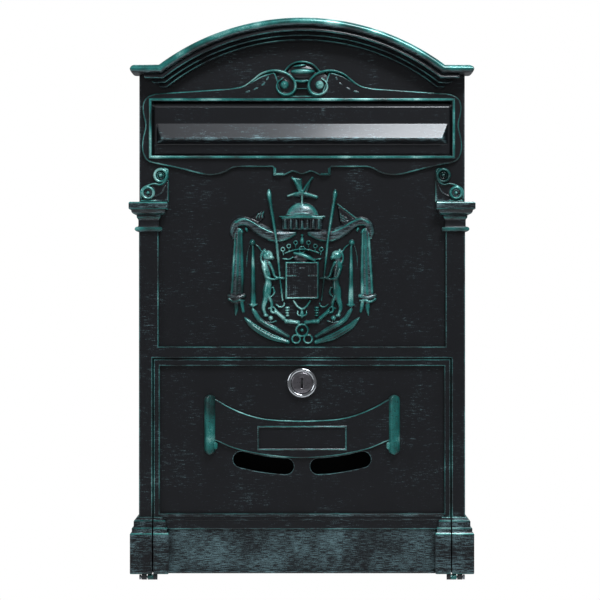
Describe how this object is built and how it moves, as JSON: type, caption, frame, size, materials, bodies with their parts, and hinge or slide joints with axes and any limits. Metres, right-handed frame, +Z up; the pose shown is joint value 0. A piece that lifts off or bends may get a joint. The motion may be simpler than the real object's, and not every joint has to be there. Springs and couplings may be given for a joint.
{
  "type": "wall mounted mailbox",
  "caption": "Antique style cast wall mailbox with an arched cornice, a lift-up letter flap, a relief crest and a lockable drop-down door with view slots.",
  "frame": {"origin": "on the back plate's wall face, centred across the width, at the height midway between the plinths' feet and the crown of the arch to within 3 mm", "axes": "+Z up, -Y out of the wall towards the user, +X to the user's right when facing the mailbox"},
  "size_m": [0.254, 0.088, 0.412],
  "materials": {
    "cast_body": "charcoal black lacquer on cast aluminium, dry-brushed with teal verdigris on the raised edges",
    "painted_plate": "thin satin black paint on sheet steel",
    "zinc_hardware": "zinc plated",
    "steel_rod": "plain steel",
    "lock_chrome": "polished chrome",
    "lock_plug": "satin nickel"
  },
  "bodies": {
    "casing": {"front_casing": "cast_body", "back_plate": "painted_plate", "back_plate_screw_1": "zinc_hardware", "back_plate_screw_2": "zinc_hardware", "back_plate_screw_3": "zinc_hardware", "back_plate_screw_4": "zinc_hardware", "back_plate_screw_5": "zinc_hardware", "back_plate_screw_6": "zinc_hardware", "flap_rod": "steel_rod", "flap_rod_clip_left": "zinc_hardware", "flap_rod_clip_right": "zinc_hardware", "clip_screw_left": "zinc_hardware", "clip_screw_right": "zinc_hardware", "door_pin_left": "steel_rod", "door_pin_right": "steel_rod"},
    "flap": {"letter_flap": "cast_body"},
    "door": {"mail_door": "cast_body", "lock_barrel": "lock_chrome", "lock_washer": "zinc_hardware", "lock_nut": "zinc_hardware"},
    "plug": {"lock_plug": "lock_plug", "lock_cam": "zinc_hardware", "cam_washer": "zinc_hardware", "cam_bolt": "zinc_hardware"}
  },
  "joints": [
    {"name": "flap_hinge", "type": "hinge", "parent": "casing", "child": "flap", "pos_m": [0, -0.0702, 0.1436], "axis": [-1, 0, 0], "range_deg": [0, 80]},
    {"name": "door_hinge", "type": "hinge", "parent": "casing", "child": "door", "pos_m": [0, -0.077, -0.2033], "axis": [1, 0, 0], "range_deg": [0, 95]},
    {"name": "lock_turn", "type": "hinge", "parent": "door", "child": "plug", "pos_m": [0, -0.06, -0.061], "axis": [0, 1, 0], "range_deg": [0, 90]}
  ]
}
